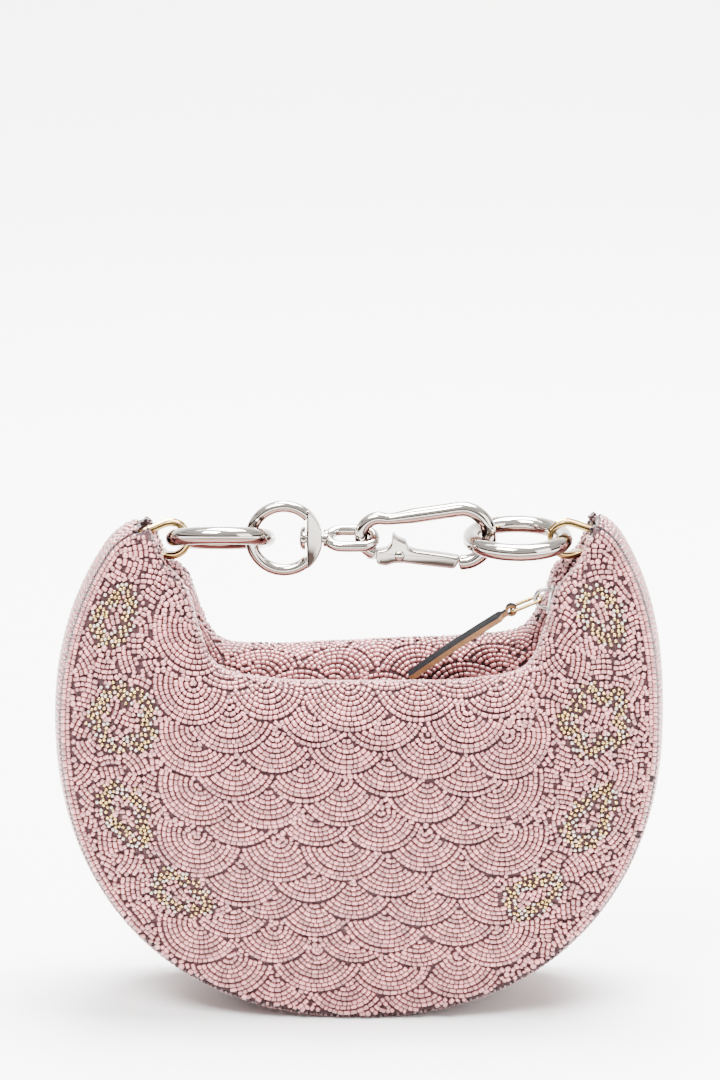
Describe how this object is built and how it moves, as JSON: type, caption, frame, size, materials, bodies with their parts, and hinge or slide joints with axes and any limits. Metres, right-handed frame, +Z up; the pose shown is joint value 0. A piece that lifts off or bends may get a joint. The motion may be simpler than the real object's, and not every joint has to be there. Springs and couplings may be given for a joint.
{
  "type": "beaded clutch bag",
  "caption": "Small crescent bag covered in glass beads, with a zipped mouth between two horns and a short handle of metal rings, a swivel and a snap hook.",
  "frame": {"origin": "on the floor under the middle of the bag's box", "axes": "+Z up, the front with its zip pull side faces -Y, +X to the right seen from the front"},
  "size_m": [0.165, 0.05, 0.1421],
  "materials": {
    "beads": "rows of small glossy pink glass beads sewn on cloth",
    "tape": "matt woven tape",
    "dull_metal": "dull nickel",
    "gold": "polished pale gold plating",
    "nickel": "mirror polished warm nickel",
    "leather": "smooth black leather with raw tan edges"
  },
  "bodies": {
    "bag": {"front_panel": "beads", "back_panel": "beads", "gusset": "beads", "zip_tape": "tape", "zip_teeth": "dull_metal", "zip_slider": "dull_metal", "puller_link": "gold", "puller_tab": "leather", "post_left": "dull_metal", "post_right": "dull_metal", "gold_band_left": "gold", "gold_band_right": "gold", "end_ring_left": "nickel", "end_ring_right": "nickel", "swivel_ring": "nickel", "swivel_eye": "nickel", "hook_body": "nickel", "gate_rivet": "nickel"},
    "gate": {"hook_gate": "nickel"}
  },
  "joints": [
    {"name": "gate_hinge", "type": "hinge", "parent": "bag", "child": "gate", "pos_m": [0.01104, 0, 0.1271], "axis": [0, -1, 0], "range_deg": [0, 20], "stiffness_Nm_per_rad": 0.01, "springref_deg": -17.19}
  ]
}
